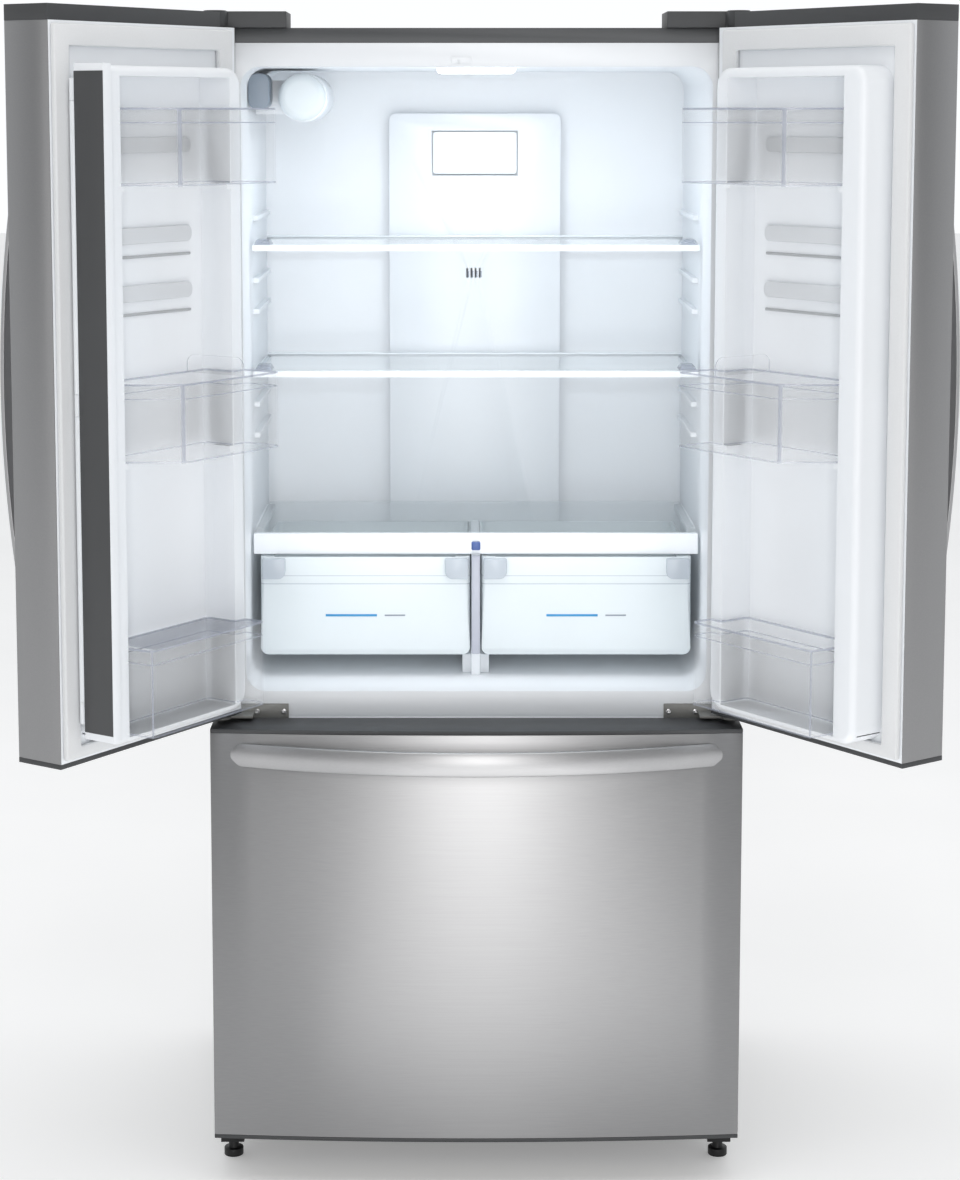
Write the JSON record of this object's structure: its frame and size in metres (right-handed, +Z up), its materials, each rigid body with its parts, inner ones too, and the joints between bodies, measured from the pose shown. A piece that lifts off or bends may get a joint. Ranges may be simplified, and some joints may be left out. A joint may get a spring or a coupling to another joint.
{
  "type": "french door refrigerator",
  "caption": "Bottom-freezer refrigerator with two swinging upper doors, a folding mullion, shelves, crispers, door bins and a pull-out freezer drawer.",
  "frame": {"origin": "centre of the footprint of the whole part with its doors at rest, on the floor", "axes": "+X to the right as seen from the front, +Y towards the back, +Z up"},
  "size_m": [1.3442, 0.98, 1.775],
  "materials": {
    "stainless": "vertical fine brushing, clear coated",
    "cabinet_paint": "fine textured grey paint",
    "dark_plastic": "moulded, fine matte grain",
    "white_plastic": "vacuum formed, soft gloss",
    "trim_white": "injection moulded, gloss",
    "clear_plastic": "clear moulded crystal plastic",
    "frosted_plastic": "pale blue translucent moulding",
    "shelf_glass": "tempered float glass, polished",
    "gasket": "soft matte vinyl",
    "foam": "rigid foam core",
    "bright_steel": "bright zinc plate",
    "black_enamel": "satin black enamel",
    "coil_metal": "mill finish",
    "lamp": "opal diffuser",
    "strip_metal": "satin dark grey paint"
  },
  "bodies": {
    "root": {"cabinet_shell": "cabinet_paint", "cabinet_back": "cabinet_paint", "base_frame": "black_enamel", "levelling_feet": "dark_plastic", "fridge_liner": "white_plastic", "freezer_liner": "white_plastic", "insulation_foam": "foam", "centre_rail": "bright_steel", "machine_cover": "dark_plastic", "cord_gland": "dark_plastic", "top_hinges": "bright_steel", "hinge_covers": "dark_plastic", "middle_hinges": "bright_steel", "hinge_screws": "bright_steel", "shelf_glasses": "shelf_glass", "shelf_trims": "trim_white", "crisper_cover_glass": "shelf_glass", "crisper_frame": "trim_white", "air_duct_cover": "white_plastic", "lamp_lens": "lamp", "mullion_guide": "white_plastic", "water_filter_housing": "trim_white", "compressor": "black_enamel", "condenser_coil": "coil_metal", "evaporator_coil": "coil_metal", "evaporator_cover": "white_plastic", "freezer_rails": "bright_steel"},
    "left_door": {"left_door_skin": "stainless", "left_door_caps": "dark_plastic", "left_door_liner": "white_plastic", "left_door_gasket": "gasket", "left_door_handle": "stainless", "mullion_hinge": "white_plastic"},
    "right_door": {"right_door_skin": "stainless", "right_door_caps": "dark_plastic", "right_door_liner": "white_plastic", "right_door_gasket": "gasket", "right_door_handle": "stainless"},
    "mullion": {"mullion_body": "white_plastic", "mullion_strip": "strip_metal"},
    "freezer_drawer": {"drawer_skin": "stainless", "drawer_caps": "dark_plastic", "drawer_liner": "white_plastic", "drawer_gasket": "gasket", "drawer_handle": "stainless", "drawer_rails": "bright_steel", "drawer_basket": "trim_white"},
    "freezer_tray": {"freezer_tray": "trim_white"},
    "crisper_left": {"crisper_left": "frosted_plastic"},
    "crisper_right": {"crisper_right": "frosted_plastic"},
    "air_filter_door": {"air_filter_door": "trim_white"},
    "water_filter_cap": {"water_filter_cap": "trim_white"},
    "rear_rollers": {"rear_rollers": "dark_plastic"},
    "evaporator_fan": {"evaporator_fan": "black_enamel"},
    "left_top_bin": {"left_top_bin": "clear_plastic"},
    "left_middle_bin": {"left_middle_bin": "clear_plastic"},
    "left_bottom_bin": {"left_bottom_bin": "clear_plastic"},
    "right_top_bin": {"right_top_bin": "clear_plastic"},
    "right_middle_bin": {"right_middle_bin": "clear_plastic"},
    "right_bottom_bin": {"right_bottom_bin": "clear_plastic"}
  },
  "joints": [
    {"name": "left_door_swing", "type": "hinge", "parent": "root", "child": "left_door", "pos_m": [-0.38768, -0.13901, 1.25], "axis": [0, 0, -1], "range_deg": [-123.9, 6]},
    {"name": "right_door_swing", "type": "hinge", "parent": "root", "child": "right_door", "pos_m": [0.37952, -0.13901, 1.25], "axis": [0, 0, 1], "range_deg": [-125.9, 4]},
    {"name": "mullion_fold", "type": "hinge", "parent": "left_door", "child": "mullion", "pos_m": [-0.54968, -0.45146, 1], "axis": [0, 0, 1], "range_deg": [-90, 0]},
    {"name": "freezer_drawer_slide", "type": "slide", "parent": "root", "child": "freezer_drawer", "axis": [0, -1, 0], "range_m": [0, 0.36]},
    {"name": "freezer_tray_slide", "type": "slide", "parent": "freezer_drawer", "child": "freezer_tray", "axis": [0, 1, 0], "range_m": [0, 0.11]},
    {"name": "crisper_left_slide", "type": "slide", "parent": "root", "child": "crisper_left", "axis": [0, -1, 0], "range_m": [0, 0.2]},
    {"name": "crisper_right_slide", "type": "slide", "parent": "root", "child": "crisper_right", "axis": [0, -1, 0], "range_m": [0, 0.2]},
    {"name": "air_filter_tilt", "type": "hinge", "parent": "root", "child": "air_filter_door", "pos_m": [-0.00408, 0.33749, 1.5275], "axis": [1, 0, 0], "range_deg": [0, 75]},
    {"name": "water_filter_turn", "type": "hinge", "parent": "root", "child": "water_filter_cap", "pos_m": [-0.27208, 0.01899, 1.65], "axis": [0, 1, 0], "range_deg": [0, 90]},
    {"name": "rear_roller_spin", "type": "hinge", "parent": "root", "child": "rear_rollers", "pos_m": [-0.00408, 0.43699, 0.02], "axis": [1, 0, 0], "continuous": true},
    {"name": "evaporator_fan_spin", "type": "hinge", "parent": "root", "child": "evaporator_fan", "pos_m": [-0.00408, 0.30699, 0.57], "axis": [0, 1, 0], "continuous": true},
    {"name": "left_top_bin_lift", "type": "slide", "parent": "left_door", "child": "left_top_bin", "axis": [0, 0, 1], "range_m": [0, 0.035]},
    {"name": "left_middle_bin_lift", "type": "slide", "parent": "left_door", "child": "left_middle_bin", "axis": [0, 0, 1], "range_m": [0, 0.035]},
    {"name": "left_bottom_bin_lift", "type": "slide", "parent": "left_door", "child": "left_bottom_bin", "axis": [0, 0, 1], "range_m": [0, 0.035]},
    {"name": "right_top_bin_lift", "type": "slide", "parent": "right_door", "child": "right_top_bin", "axis": [0, 0, 1], "range_m": [0, 0.035]},
    {"name": "right_middle_bin_lift", "type": "slide", "parent": "right_door", "child": "right_middle_bin", "axis": [0, 0, 1], "range_m": [0, 0.035]},
    {"name": "right_bottom_bin_lift", "type": "slide", "parent": "right_door", "child": "right_bottom_bin", "axis": [0, 0, 1], "range_m": [0, 0.035]}
  ]
}
